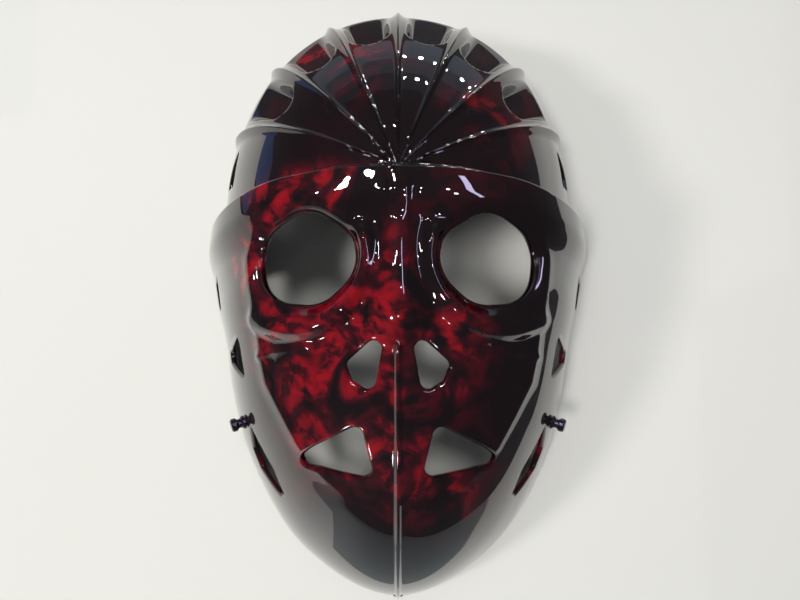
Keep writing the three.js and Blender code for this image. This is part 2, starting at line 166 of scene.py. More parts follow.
# The flat pattern of the shell is a disc. A point of it stands for the place on the dome at the same angle
# round the brow, at that share of the way to the rim.
PATTERN_COLUMNS = {"angles": (-90, 24.5, 48, 69, 90), "at": (0, 46, 58, 69, 80)}
PATTERN_RINGS = 56
POLE = 2e-3  # nearer to its middle than this, the pattern is taken to point to the forehead
ON_EDGE = 1e-4  # what is this near to an edge of the pattern is on it
MERGE = 1e-6
NORMAL_STEP = 4e-4  # small steps across the pattern, to find a slope
CLEARANCE_STEP = 1e-4
LIP_STEP = 2e-4
LEAST_SLOPE = 1e-6

# The searches for a place on the dome and for its rim. Each halves its range again and again.
DOME_HALVINGS = 40
RIM_HALVINGS = 30
RIM_RANGE = (0.9, 1.1)
RIM_ANGLES = 1441

# The cutting of the openings, in millimetres.
SNAP = 0.25  # points this near to an opening's edge are moved onto it
LEFT_INSIDE = 0.02  # points deeper in an opening than this are taken out
EDGE_MOVES = 4
LIP_STEPS = 8

# The mesh, in millimetres. Each fine form has the longest edge that it allows, out to its reach. Past that,
# the edges may grow by EDGE_GROWTH of the distance, up to LONGEST_EDGE.
SPLIT_ROUNDS = 5
MOST_TRIANGLES = 190000
LONGEST_EDGE = 2.6
EDGE_GROWTH = 0.35
FINE = {
    "openings": {"edge": 0.8, "reach": 0.5},
    "frame": {"edge": 0.7, "reach": 1.2},
    "crease": {"edge": 0.7, "reach": 0.8},
    "chin": {"edge": 0.7, "reach": CHIN_RIB["width"]},
    "brow": {"edge": 0.9, "reach": BROW["ramp"] / 2},
    "goggle": {"edge": 1.2, "reach": 4},
    "nose": {"edge": 1.3, "reach": 0},
    "nostrils": {"edge": 0.9, "reach": 0},
    "rib": {"edge": 0.7, "reach": 1},
    "scoops": {"edge": 1.3, "reach": 0},
}
FINE_CHIN_MARGIN = 2
FINE_GOGGLE_TOP = 30
FINE_NOSE = {"half_width": 13, "top": 36, "tip": -12, "bottom": -27}
FOREHEAD_LENGTH = 150  # about as long as a profile over the scoops

# The clouds in the lacquer, in millimetres. The candy is airbrushed heaviest round two middles on the left of
# the face, with none above the brow. These middles are partly painted light: they redden the left of the
# face, where the lamps fall, and the glossy band under the left brow. No clouds lie close round the eye
# holes, as painted shade in the sockets.
CLOUDS = {
    "middles": ((-30, 22, 97), (-18, -30, 98)),
    "near": 20,
    "far": 78,
    "none_above": 51,
    "all_below": 35,
    # painted shade round the eye holes, from its inner to its outer edge
    "socket_shade_from": 15.5,
    "socket_shade_to": 19.5,
    "spray_and_light": 0.32,
}
# Each layer of the clouds is a noise, and is bare below low and full above high.
PATCHES = {"scale": 17, "detail": 1.5, "roughness": 0.4, "distortion": 0.2, "low": 0.48, "high": 0.82}
BLOBS = {"scale": 58, "detail": 2.5, "roughness": 0.5, "distortion": 0.9, "low": 0.38, "high": 0.62}
WISPS = {"scale": 140, "detail": 3, "roughness": 0.55, "distortion": 0.4, "low": 0.28, "high": 0.6}
DEEP_AT = 0.35
CANDY_AT = 0.95
LACQUER = {
    "Roughness": 0.5,
    "Specular IOR Level": 0.05,
    "Coat Weight": 1.0,
    "Coat Roughness": 0.015,
    "Coat IOR": 1.75,
}
# The metal is brighter where the wear is above high.
WEAR = {"scale": 900, "detail": 3, "roughness": 0.6, "distortion": 0, "low": 0.35, "high": 0.7, "brighter": 2}
METAL = {"Metallic": 0.6, "Roughness": 0.22}

# The stage, in metres. The soft lights brighten the floor and the mask, and aren't seen in the lacquer.
WHITE = (1, 1, 1)
WARM = (1, 0.98, 0.93)
LILAC = (0.72, 0.66, 1)
FAR_BLUE = (0.6, 0.8, 1)
SOFT_SIZE = (0.34, 0.34)
SOFT_LIGHTS = (
    {"name": "key", "place": (-0.62, -0.3, 1.95), "size": SOFT_SIZE, "power": 14, "colour": WARM},
    {"name": "top_key", "place": (0.05, 0.34, 2.0), "size": SOFT_SIZE, "power": 9, "colour": WARM},
    {"name": "left_key", "place": (-1.4, -0.25, 1.5), "size": SOFT_SIZE, "power": 12, "colour": WARM},
    {
        "name": "ceiling",
        "place": (-0.3, 0.2, 2.2),
        "size": (2.4, 2.4),
        "power": 15,
        "colour": (0.97, 1, 0.98),
    },
)
# The small lamps only glint in the lacquer. Each is given by its bearing to the right of straight up the mask
# and by its height over the floor, both in degrees.
LAMPS = (
    (9, 4),
    (15, 2),
    (21, -1),
    (9, 19),
    (27, 6),
    (-10, 45),
    (-24, 64),
    (-65, 52),
    (51, 66),
    (88, 68),
    (-150, 30),
    (180, 40),
)
LAMP = {"size": (0.07, 0.07), "power": 2.4, "far": 2.4}
# The panels are seen in the lacquer alone: two tubes, a lamp in front, and the far side of the room in steps.
PANELS = (
    {"name": "tube", "place": (-0.78, 0.72, 1.92), "size": (0.36, 0.07), "power": 6, "colour": WHITE},
    {
        "name": "front_lamp",
        "place": (-0.97, -1.68, 1.1),
        "size": (0.22, 0.16),
        "power": 8,
        "colour": (1, 0.96, 0.98),
    },
    {"name": "lilac_tube", "place": (0.95, 0.3, 1.5), "size": (1.1, 0.12), "power": 4, "colour": LILAC},
    {"name": "far_room", "place": (0, 2.5, -0.1), "size": (4, 0.7), "power": 3.2, "colour": FAR_BLUE},
    {"name": "far_wall", "place": (0, 2.5, 0.47), "size": (4, 0.44), "power": 1.1, "colour": FAR_BLUE},
    {"name": "far_top", "place": (0, 2.5, 0.94), "size": (4, 0.5), "power": 0.5, "colour": FAR_BLUE},
)
# The flat surfaces that the lacquer reflects, dark past their edges: the table top, its near end painted dark
# as the shadow that falls there, and a blue card beside it.
TABLE_LIFT = 0.0002
TABLE_CORNERS = (
    (0.2, 0.27),
    (-0.19, 0.27),
    (-0.19, 0.1),
    (-1.2, 0.02),
    (-1.2, -0.45),
    (-0.2, -0.34),
    (-0.06, -0.16),
    (0.06, -0.16),
    (0.15, -0.2),
    (0.15, 0),
    (0.2, 0.02),
)
CARD_CORNERS = ((-0.19, 0.11), (-0.19, 0.2), (-0.42, 0.27), (-0.42, 0.1))
# painted shadow: the near end of the table, darker where the shadow falls, seen only in the lacquer
TABLE_SHADOW_CORNERS = (
    (0.15, -0.2),
    (0.06, -0.16),
    (-0.06, -0.16),
    (-0.2, -0.34),
    (-1.2, -0.45),
    (-1.2, -1.6),
    (0.1, -1.6),
)
FLOOR_ROUGHNESS = 0.5
TABLE_SHADOW_COLOUR = (0.25, 0.29, 0.31)
CARD_COLOUR = (0.07, 0.15, 0.38)
ROOM_COLOUR = (0.055, 0.055, 0.062)
FLOOR_SIZE = 6
# The lens and the aim are in millimetres, and the tilt is in degrees.
CAMERA = {"lens": 31.2, "shift": 0.0025, "tilt": 5.8, "distance": 0.35, "aim": 2, "clip_start": 0.01}


def smooth(value, low, high):
    """Nothing up to low and one from high, with an even curve between."""
    t = np.clip((value - low) / (high - low), 0, 1)
    return t * t * (3 - 2 * t)


def blend(a, b, t):
    return a + (b - a) * t


def along(rows, key, column, at):
    """A smooth curve through a column of a table whose rows rise in the key column."""
    keys, values = rows[key], rows[column]
    slopes = np.zeros_like(values)
    slopes[1:-1] = (values[2:] - values[:-2]) / (keys[2:] - keys[:-2])
    at = np.clip(at, keys[0], keys[-1])
    i = np.clip(np.searchsorted(keys, at, side="right") - 1, 0, len(keys) - 2)
    span = keys[i + 1] - keys[i]
    t = (at - keys[i]) / span
    ease = t * t * (3 - 2 * t)
    start = t * (1 - t) ** 2 * span * slopes[i]
    end = t * t * (t - 1) * span * slopes[i + 1]
    return values[i] + (values[i + 1] - values[i]) * ease + start + end


def folded(angle):
    """The angle of the same place on the right half."""
    return np.degrees(np.arcsin(np.sin(np.radians(angle))))


def dome(angle, share):
    """Points of the plain dome at angles in degrees and shares of their profiles."""
    sine = np.sin(np.radians(angle))
    half = folded(angle)
    rim = along(PROFILES, "angle", "rim", half)
    front = along(PROFILES, "angle", "front", half) * rim
    side = along(PROFILES, "angle", "side", half) * rim
    side_up = along(PROFILES, "angle", "side_up", half)
    rest = 1 - share
    one = 3 * rest * rest * share
    two = 3 * rest * share * share
    out = one * front + two * side + share**3 * rim
    up = rest**3 * CROWN + one * (CROWN + LEAN * sine * front) + two * side_up
    return np.stack([out * np.cos(np.radians(angle)), BROW_Y + out * sine, up], axis=-1)


def unit(vectors):
    return vectors / np.maximum(np.linalg.norm(vectors, axis=-1, keepdims=True), TINY)


def dome_normal(angle, share):
    step, turn = 0.01, 1
    inner = np.maximum(share, 2 * step)
    outwards = dome(angle, inner + step) - dome(angle, inner - step)
    around = dome(angle + turn, inner) - dome(angle - turn, inner)
    return unit(np.cross(outwards, around))


def dome_above(x, y):
    """The angle and share of the dome's point above x, y."""
    angle = np.degrees(np.arctan2(y - BROW_Y, x))
    reach = np.hypot(x, y - BROW_Y)
    low, high = 0.0, 1.0
    for _ in range(DOME_HALVINGS):
        middle = (low + high) / 2
        point = dome(angle, middle)
        if np.hypot(point[0], point[1] - BROW_Y) < reach:
            low = middle
        else:
            high = middle
    return angle, low


def side_frame(x, y):
    """The middle of a place on the right side of the dome, and its axes down the slope, along it and out."""
    angle, share = dome_above(x, y)
    normal = dome_normal(angle, share)
    forward = np.array([0.0, 1.0, 0.0])
    forward = unit(forward - normal * normal[1])
    return dome(angle, share), np.cross(forward, normal), forward, normal


def outside_band(opening, u, v):
    """The distance from points u, v to an opening's edge: above zero outside it."""
    corners = np.array(opening["corners"], float)
    nearest = np.full(np.shape(u), np.inf)
    within = np.ones(np.shape(u), bool)
    for (ax, ay), (bx, by) in zip(corners, np.roll(corners, -1, axis=0)):
        ex, ey = bx - ax, by - ay
        t = np.clip(((u - ax) * ex + (v - ay) * ey) / (ex * ex + ey * ey), 0, 1)
        nearest = np.minimum(nearest, np.hypot(u - ax - t * ex, v - ay - t * ey))
        within &= (v - ay) * ex - (u - ax) * ey <= 0
    return np.where(within, -nearest, nearest) - opening["radius"]


def line_distance(line, x, y):
    nearest = np.full(np.shape(x), np.inf)
    for ax, ay, bx, by in zip(line["x"], line["y"], line["x"][1:], line["y"][1:]):
        ex, ey = bx - ax, by - ay
        t = np.clip(((x - ax) * ex + (y - ay) * ey) / (ex * ex + ey * ey), 0, 1)
        nearest = np.minimum(nearest, np.hypot(x - ax - t * ex, y - ay - t * ey))
    return nearest


def crest(distance, width, rounding=0.12):
    """A rounded crest with hollow flanks: full height on the line and nothing at its width."""
    soft = rounding * width
    distance = np.sqrt(distance * distance + soft * soft) - soft
    return np.clip(1 - distance / width, 0, 1) ** 2


def brow_below(x, y):
    return along(BROW_LINE, "x", "y", x) - y


def brow_relief(sizes, x, y):
    below = brow_below(x, y)
    ledge = smooth(below, -BROW["ramp"] / 2, BROW["ramp"] / 2)
    band = blend(1, BROW["plateau_share"], smooth(below, BROW["band"], BROW["plateau"]))
    return sizes.brow_step / MM * ledge * band * (1 - smooth(below, BROW["fade_from"], BROW["fade_to"]))


def goggle_relief(sizes, x, y):
    offset = np.hypot(x - GOGGLE["x"], y - GOGGLE["y"]) - GOGGLE["radius"]
    turn = np.degrees(np.arctan2(y - GOGGLE["y"], x - GOGGLE["x"]))
    turn = np.where(turn < 90, turn + 360, turn)
    ends = smooth(turn, GOGGLE_ARC["start"], GOGGLE_ARC["full"])
    ends = ends * (1 - smooth(turn, GOGGLE_ARC["full_to"], GOGGLE_ARC["stop"]))
    width = np.where(offset > 0, GOGGLE["outside"], GOGGLE["inside"])
    return sizes.goggle_height / MM * ends * (1 - smooth(np.abs(offset) / width, 0, 1))


def socket_relief(x, y):
    outside = outside_band(EYE, x - EYE["x"], y - EYE["y"])
    return -SOCKET["depth"] * crest(np.maximum(outside, 0), SOCKET["roll"], rounding=0)


def nose_relief(x, y):
    width = along(NOSE, "y", "width", y)
    return along(NOSE, "y", "height", y) * (1 - smooth(x / width, 0, 1))


def scoop_relief(sizes, angle, share):
    half = folded(angle)
    middles = np.array([(a + b) / 2 for a, b in zip(FAN, FAN[1:])])
    aside = np.min(np.abs(half[..., None] - middles), axis=-1) / SCOOP["half_angle"]
    start = SCOOP["start"] + SCOOP["bow"] * aside * aside
    wall = smooth(share - start, 0, SCOOP["wall"])
    left = np.maximum((SCOOP["stop"] - share) / (SCOOP["stop"] - SCOOP["start"]), 0)
    floor = left * (sizes.scoop_depth / MM + SCOOP["bulge"] * (1 - left))
    return -wall * floor * (1 - smooth(aside, SCOOP["flat"], 1))


def form_relief(sizes, base, angle, share):
    """What shapes both faces of the wall."""
    x, y = np.abs(base[..., 0]), base[..., 1]
    relief = brow_relief(sizes, x, y) + goggle_relief(sizes, x, y) + socket_relief(x, y)
    return relief + nose_relief(x, y) + scoop_relief(sizes, angle, share)


def detail_relief(sizes, base, angle, share):
    """What is raised on the outer face alone."""
    x, y = np.abs(base[..., 0]), base[..., 1]
    framed = smooth(y, FRAME_BEAD["bottom"], FRAME_BEAD["full_from"])
    framed = framed * (1 - smooth(y, FRAME_BEAD["full_to"], FRAME_BEAD["top"]))
    height = FRAME_BEAD["height"] * framed * crest(line_distance(FRAME_LINE, x, y), FRAME_BEAD["width"])
    height += CREASE_BEAD["height"] * crest(line_distance(CREASE_LINE, x, y), CREASE_BEAD["width"])
    chin = CHIN_RIB["height"] * (1 - smooth(x, 0, CHIN_RIB["width"]))
    height += np.where(y < CHIN_RIB["top"], chin, 0)
    bridge = 1 - smooth(x, BRIDGE_BAND["width"] - BRIDGE_BAND["edge"], BRIDGE_BAND["width"])
    bridge = bridge * smooth(y, BRIDGE_BAND["bottom"], BRIDGE_BAND["bottom"] + BRIDGE_BAND["fade"])
    bridge = bridge * (1 - smooth(y, BRIDGE_BAND["top"] - BRIDGE_BAND["fade"], BRIDGE_BAND["top"]))
    height += BRIDGE_BAND["height"] * bridge
    reach = np.hypot(x, y - BROW_Y)
    full = blend(sizes.rib_height / MM, FAN_RIB["rim_height"], smooth(share, FAN_RIB["low_from"], 1))
    for rib in FAN:
        grown = blend(FAN_RIB["start_height"], full, reach / FAN_RIB["reach"])
        tall = grown * smooth(reach, 0, FAN_RIB["start"])
        height += tall * crest(np.abs(folded(angle) - rib), FAN_RIB["foot"])
    return height


def wall_point(sizes, angle, share, depth):
    """Points of the wall, from its outer face at depth 0 to its inner face at depth 1."""
    base = dome(angle, share)
    normal = dome_normal(angle, share)
    form = form_relief(sizes, base, angle, share)
    outer = form + detail_relief(sizes, base, angle, share)
    inner = form - sizes.wall / MM
    return base + normal * blend(outer, inner, depth)[..., None]


class Pattern:
    """Turns points of the flat pattern into places on the shell."""

    def __init__(self, sizes):
        self.sizes = sizes
        self.angles = np.linspace(-90, 90, RIM_ANGLES)
        self.ends = {depth: self.rim_shares(depth) for depth in (0, 1)}
        self.frames = [side_frame(opening["x"], opening["y"]) for opening in SIDE_OPENINGS]

    def rim_shares(self, depth):
        """The share at which a face of the wall reaches the plane of the rim, at each of the angles."""
        low, high = (np.full(self.angles.shape, end) for end in RIM_RANGE)
        for _ in range(RIM_HALVINGS):
            middle = (low + high) / 2
            above = wall_point(self.sizes, self.angles, middle, depth)[..., 2] > 0
            low, high = np.where(above, middle, low), np.where(above, high, middle)
        return (low + high) / 2

    def place(self, flat, depth):
        """Places in millimetres on the outer face, depth 0, or the inner face, depth 1."""
        angle = np.degrees(np.arctan2(flat[..., 1], flat[..., 0]))
        end = np.interp(folded(angle), self.angles, self.ends[depth])
        return wall_point(self.sizes, angle, np.hypot(flat[..., 0], flat[..., 1]) * end, depth)

    def middle(self, flat):
        return (self.place(flat, 0) + self.place(flat, 1)) / 2

    def normal(self, flat, depth):
        """The outward normal of a face of the wall."""
        reach = np.maximum(np.hypot(flat[..., 0], flat[..., 1]), POLE)[..., None]
        out = np.where(reach > POLE, flat / reach, np.array([0.0, 1.0]))
        across = np.stack([-out[..., 1], out[..., 0]], axis=-1)
        here = out * reach
        out, across = NORMAL_STEP * out, NORMAL_STEP * across
        outwards = self.place(here + out, depth) - self.place(here - out, depth)
        around = self.place(here + across, depth) - self.place(here - across, depth)
        normal = unit(np.cross(outwards, around))
        return normal if depth == 0 else -normal

    def clear_of_openings(self, flat):
        """The distance in millimetres from points of the pattern to the nearest opening's edge."""
        points = self.middle(flat)
        x = np.abs(points[..., 0])
        nearest = np.full(x.shape, np.inf)
        for opening in FRONT_OPENINGS:
            distance = outside_band(opening, x - opening["x"], points[..., 1] - opening["y"])
            nearest = np.minimum(nearest, distance)
        for opening, (origin, down, forward, _) in zip(SIDE_OPENINGS, self.frames):
            offset = np.stack([x, points[..., 1], points[..., 2]], axis=-1) - origin
            near = np.linalg.norm(offset, axis=-1) < SIDE_REACH
            distance = outside_band(opening, offset @ down, offset @ forward)
            nearest = np.where(near, np.minimum(nearest, distance), nearest)
        return nearest

    def slope_of_clearance(self, flat):
        """How the clearance changes across the pattern."""
        step = CLEARANCE_STEP
        rise_x = self.clear_of_openings(flat + (step, 0)) - self.clear_of_openings(flat - (step, 0))
        rise_y = self.clear_of_openings(flat + (0, step)) - self.clear_of_openings(flat - (0, step))
        return np.stack([rise_x, rise_y], axis=-1) / (2 * step)

    def to_edge(self, flat, margin):
        """Moves points of the pattern to where the clearance is the margin."""
        for _ in range(EDGE_MOVES):
            slope = self.slope_of_clearance(flat)
            miss = self.clear_of_openings(flat) - margin
            flat = flat - slope * (miss / np.maximum((slope**2).sum(-1), LEAST_SLOPE))[..., None]
        return flat


def outside_box(x, y, half_width, bottom, top):
    """How far points are outside a box on the middle line, on the side where they are furthest out."""
    return np.maximum(x - half_width, np.maximum(y - top, bottom - y))


def fineness(pattern, flat):
    """The longest edge in millimetres that the mesh may have at a place."""
    angle = np.degrees(np.arctan2(flat[..., 1], flat[..., 0]))
    share = np.hypot(flat[..., 0], flat[..., 1])
    base = dome(angle, share)
    x, y = np.abs(base[..., 0]), base[..., 1]
    half = folded(angle)
    from_edge = pattern.clear_of_openings(flat) - pattern.sizes.wall / MM / 2
    from_goggle = np.hypot(x - GOGGLE["x"], y - GOGGLE["y"]) - GOGGLE["radius"]
    from_scoops = np.maximum(SCOOP["start"] - share, share - SCOOP["stop"]) * FOREHEAD_LENGTH
    width, top, tip, bottom = (FINE_NOSE[name] for name in ("half_width", "top", "tip", "bottom"))
    forms = [
        ("openings", np.abs(from_edge)),
        ("frame", line_distance(FRAME_LINE, x, y)),
        ("crease", line_distance(CREASE_LINE, x, y)),
        ("chin", np.where(y < CHIN_RIB["top"] + FINE_CHIN_MARGIN, x, np.inf)),
        ("brow", np.abs(brow_below(x, y))),
        ("goggle", np.where(y < FINE_GOGGLE_TOP, np.abs(from_goggle), np.inf)),
        ("nose", outside_box(x, y, width, bottom, top)),
        ("nostrils", outside_box(x, y, width, bottom, tip)),
        ("scoops", np.where(half > FAN[0], from_scoops, np.inf)),
    ]
    forms += [("rib", np.hypot(x, y - BROW_Y) * np.radians(np.abs(half - rib))) for rib in FAN]
    size = np.full(x.shape, LONGEST_EDGE)
    for name, distance in forms:
        past = np.maximum(distance - FINE[name]["reach"], 0)
        size = np.minimum(size, FINE[name]["edge"] + EDGE_GROWTH * past)
    return size


# --- Edit-mode work -------------------------------------------------------------------------------------


def deselect_all():
    for piece in bpy.context.selected_objects:
        piece.select_set(False)


def make_active(piece):
    deselect_all()
    piece.select_set(True)
    bpy.context.view_layer.objects.active = piece


def coordinates(piece):
    flat = np.empty(len(piece.data.vertices) * 3)
    piece.data.vertices.foreach_get("co", flat)
    return flat.reshape(-1, 3)


def edge_ends(piece):
    ends = np.empty(len(piece.data.edges) * 2, np.int32)
    piece.data.edges.foreach_get("vertices", ends)
    return ends.reshape(-1, 2)


def set_coordinates(piece, points):
    piece.data.vertices.foreach_set("co", np.ascontiguousarray(points, np.float32).ravel())
    piece.data.update()


def select_edges(piece, chosen):
    """Selects the chosen edges alone and leaves the piece in edit mode."""
    bpy.context.tool_settings.mesh_select_mode = (False, True, False)
    mesh = piece.data
    mesh.vertices.foreach_set("select", np.zeros(len(mesh.vertices), bool))
    mesh.polygons.foreach_set("select", np.zeros(len(mesh.polygons), bool))
    mesh.edges.foreach_set("select", chosen)
    bpy.ops.object.mode_set(mode="EDIT")


def split_edges(piece, chosen):
    """Halves the chosen edges of a mesh of triangles and leaves it a mesh of triangles."""
    select_edges(piece, chosen)
    bpy.ops.mesh.subdivide(number_cuts=1, ngon=False)
    bpy.ops.mesh.select_all(action="SELECT")
    bpy.ops.mesh.quads_convert_to_tris(quad_method="SHORTEST_DIAGONAL", ngon_method="BEAUTY")
    bpy.ops.object.mode_set(mode="OBJECT")


def half_pattern():
    """The right half of the flat pattern, with a line of the mesh down the middle of each rib."""
    columns = PATTERN_COLUMNS["at"][-1]
    deselect_all()
    bpy.ops.mesh.primitive_grid_add(x_subdivisions=PATTERN_RINGS, y_subdivisions=columns, size=1)
    piece = bpy.context.object
    points = coordinates(piece)
    share = points[:, 0] + 0.5
    column = (points[:, 1] + 0.5) * columns
    angle = np.radians(np.interp(column, PATTERN_COLUMNS["at"], PATTERN_COLUMNS["angles"]))
    set_coordinates(piece, np.stack([share * np.cos(angle), share * np.sin(angle), 0 * share], axis=-1))
    bpy.ops.object.mode_set(mode="EDIT")
    bpy.ops.mesh.select_all(action="SELECT")
    bpy.ops.mesh.remove_doubles(threshold=MERGE)
    bpy.ops.mesh.quads_convert_to_tris(quad_method="SHORTEST_DIAGONAL", ngon_method="BEAUTY")
    bpy.ops.object.mode_set(mode="OBJECT")
    return piece


def refine(piece, pattern):
    """Splits the edges that are too long for their place."""
    for _ in range(SPLIT_ROUNDS):
        flat = coordinates(piece)[:, :2]
        ends = edge_ends(piece)
        placed = pattern.place(flat, 0)
        length = np.linalg.norm(placed[ends[:, 0]] - placed[ends[:, 1]], axis=-1)
        long = length > fineness(pattern, flat[ends].mean(axis=1))
        if not long.any():
            return
        split_edges(piece, long)


def open_holes(piece, pattern):
    """Cuts the openings, less the width of their lips, out of the flat pattern."""
    margin = pattern.sizes.wall / MM / 2
    points = coordinates(piece)
    clear = pattern.clear_of_openings(points[:, :2]) - margin
    near = np.abs(clear) < SNAP
    points[near, :2] = pattern.to_edge(points[near, :2], margin)
    set_coordinates(piece, points)
    clear[near] = 0
    ends = edge_ends(piece)
    crossing = clear[ends[:, 0]] * clear[ends[:, 1]] < 0
    before = len(points)
    split_edges(piece, crossing)
    points = coordinates(piece)
    points[before:, :2] = pattern.to_edge(points[before:, :2], margin)
    set_coordinates(piece, points)
    clear = pattern.clear_of_openings(points[:, :2]) - margin
    bpy.context.tool_settings.mesh_select_mode = (True, False, False)
    mesh = piece.data
    mesh.polygons.foreach_set("select", np.zeros(len(mesh.polygons), bool))
    mesh.edges.foreach_set("select", np.zeros(len(mesh.edges), bool))
    mesh.vertices.foreach_set("select", clear < -LEFT_INSIDE)
    bpy.ops.object.mode_set(mode="EDIT")
    bpy.ops.mesh.delete(type="VERT")
    bpy.ops.object.mode_set(mode="OBJECT")


def mirror_pattern(piece):
    """Adds the left half."""
    mirror = piece.modifiers.new("other_half", "MIRROR")
    mirror.use_clip = True
    mirror.merge_threshold = MERGE
    make_active(piece)
    bpy.ops.object.modifier_apply(modifier=mirror.name)


def thicken_pattern(piece):
    """Makes a slab of the pattern, the inner face at height 0 and the outer at 1, with loops on its edges."""
    bpy.ops.object.mode_set(mode="EDIT")
    bpy.ops.mesh.select_all(action="SELECT")
    bpy.ops.mesh.extrude_region_move(TRANSFORM_OT_translate={"value": (0, 0, 1)})
    bpy.ops.object.mode_set(mode="OBJECT")
    ends = edge_ends(piece)
    height = coordinates(piece)[:, 2]
    upright = np.abs(height[ends[:, 0]] - height[ends[:, 1]]) > 0.5
    select_edges(piece, upright)
    bpy.ops.mesh.subdivide(number_cuts=LIP_STEPS - 1)
    bpy.ops.object.mode_set(mode="OBJECT")


def shape_shell(piece, pattern):
    """Bends the slab into the mask and rounds its edges. Returns the normals."""
    points = coordinates(piece)
    flat, height = points[:, :2], points[:, 2]
    reach = np.hypot(flat[:, 0], flat[:, 1])
    outer, inner = pattern.place(flat, 0), pattern.place(flat, 1)
    outer_normal, inner_normal = pattern.normal(flat, 0), pattern.normal(flat, 1)
    depth = (1 - height)[:, None]
    placed = blend(outer, inner, depth)
    normals = unit(blend(outer_normal, inner_normal, depth) + TINY)
    lip = (height > ON_EDGE) & (height < 1 - ON_EDGE) & (reach < 1 - ON_EDGE)
    turn = np.pi * depth[lip]
    inward = -pattern.slope_of_clearance(flat[lip])
    inward = LIP_STEP * inward / np.maximum(np.linalg.norm(inward, axis=-1, keepdims=True), TINY)
    across = pattern.middle(flat[lip] + inward) - pattern.middle(flat[lip])
    half = (outer[lip] - inner[lip]) / 2
    across = unit(across - half * ((across * half).sum(-1) / (half * half).sum(-1))[:, None])
    bulge = np.linalg.norm(half, axis=-1, keepdims=True)
    middle = (outer[lip] + inner[lip]) / 2
    placed[lip] = middle + np.cos(turn) * half + np.sin(turn) * bulge * across
    normals[lip] = unit(np.cos(turn) * unit(half) + np.sin(turn) * across)
    rim = reach >= 1 - ON_EDGE
    placed[rim, 2] = 0
    placed[:, 1] += MIDDLE
    set_coordinates(piece, placed * MM)
    return normals


def smooth_shell(piece, normals):
    bpy.ops.object.shade_smooth()
    piece.data.normals_split_custom_set_from_vertices(normals)


def thin_shell(piece):
    """Takes out the triangles that the shape can do without, and keeps the fine shading."""
    make_active(piece)
    bpy.ops.object.duplicate()
    fine = bpy.context.object
    make_active(piece)
    piece.data.calc_loop_triangles()
    fewer = piece.modifiers.new("fewer", "DECIMATE")
    fewer.ratio = MOST_TRIANGLES / len(piece.data.loop_triangles)
    fewer.use_symmetry = True
    fewer.symmetry_axis = "X"
    bpy.ops.object.modifier_apply(modifier=fewer.name)
    points = coordinates(piece)
    points[:, 2] = np.maximum(points[:, 2], 0)
    set_coordinates(piece, points)
    shading = piece.modifiers.new("shading", "DATA_TRANSFER")
    shading.object = fine
    shading.use_loop_data = True
    shading.data_types_loops = {"CUSTOM_NORMAL"}
    shading.loop_mapping = "POLYINTERP_NEAREST"
    bpy.ops.object.modifier_apply(modifier=shading.name)
    bpy.data.objects.remove(fine)


# --- Finishes -------------------------------------------------------------------------------------------


def new_material(name, settings):
    """A material with a plain shader, and the shader's settings made."""
    material = bpy.data.materials.new(name)
    material.use_nodes = True
    tree = material.node_tree
    shader = tree.nodes["Principled BSDF"]
    for socket, value in settings.items():
        shader.inputs[socket].default_value = value
    return material, tree, shader


def noise(tree, place, layer):
    """A cloud pattern on a piece's own coordinates."""
    clouds = tree.nodes.new("ShaderNodeTexNoise")
    clouds.inputs["Scale"].default_value = layer["scale"]
    clouds.inputs["Detail"].default_value = layer["detail"]
    clouds.inputs["Roughness"].default_value = layer["roughness"]
    clouds.inputs["Distortion"].default_value = layer["distortion"]
    tree.links.new(place, clouds.inputs["Vector"])
    return clouds.outputs["Fac"]


def stretch(tree, value, low, high):
    """The value spread smoothly from nothing at low to one at high."""
    spread = tree.nodes.new("ShaderNodeMapRange")
    spread.interpolation_type = "SMOOTHSTEP"
    spread.inputs["From Min"].default_value = low
    spread.inputs["From Max"].default_value = high
    tree.links.new(value, spread.inputs["Value"])
    return spread.outputs["Result"]


def combine(tree, operation, first, second):
    """One value from two, each of them a number or another node's output."""
    node = tree.nodes.new("ShaderNodeMath")
    node.operation = operation
    for socket, value in zip(node.inputs, (first, second)):
        if isinstance(value, (int, float)):
            socket.default_value = value
        else:
            tree.links.new(value, socket)
    return node.outputs["Value"]


def distance_from(tree, place, middle):
    """How far a place is from a middle that is given in millimetres."""
    apart = tree.nodes.new("ShaderNodeVectorMath")
    apart.operation = "DISTANCE"
    apart.inputs[1].default_value = [part * MM for part in middle]
    tree.links.new(place, apart.inputs[0])
    return apart.outputs["Value"]


def colour_by(tree, value, shader, first, last, *between):
    """Colours the shader by the value, from the first stop to the last. A stop is a value and its colour."""
    ramp = tree.nodes.new("ShaderNodeValToRGB")
    elements = ramp.color_ramp.elements
    for element, (position, colour) in zip(elements, (first, last)):
        element.position = position
        element.color = (*colour, 1)
    for position, colour in between:
        elements.new(position).color = (*colour, 1)
    tree.links.new(value, ramp.inputs["Fac"])
    tree.links.new(ramp.outputs["Color"], shader.inputs["Base Color"])


def sprayed_and_lit_face(tree, place, up):
    """How heavily the candy lies: most round its middles on the lit left, as painted light, none above the
    brow.
    """
    sprayed_and_lit = 0
    for middle in CLOUDS["middles"]:
        here = stretch(tree, distance_from(tree, place, middle), CLOUDS["far"] * MM, CLOUDS["near"] * MM)
        sprayed_and_lit = combine(tree, "MAXIMUM", sprayed_and_lit, here)
    below_brow = stretch(tree, up, CLOUDS["none_above"] * MM, CLOUDS["all_below"] * MM)
    return combine(tree, "MULTIPLY", sprayed_and_lit, below_brow)


def clear_of_socket_shade(tree, across, up):
    """Painted shade: nothing close round the eye holes, so the sockets stay black, one away, the same on both
    halves.
    """
    right_half = tree.nodes.new("ShaderNodeCombineXYZ")
    tree.links.new(combine(tree, "ABSOLUTE", across, 0), right_half.inputs["X"])
    tree.links.new(up, right_half.inputs["Y"])
    from_eye = distance_from(tree, right_half.outputs["Vector"], (EYE["x"], EYE["y"] + MIDDLE, 0))
    return stretch(tree, from_eye, CLOUDS["socket_shade_from"] * MM, CLOUDS["socket_shade_to"] * MM)


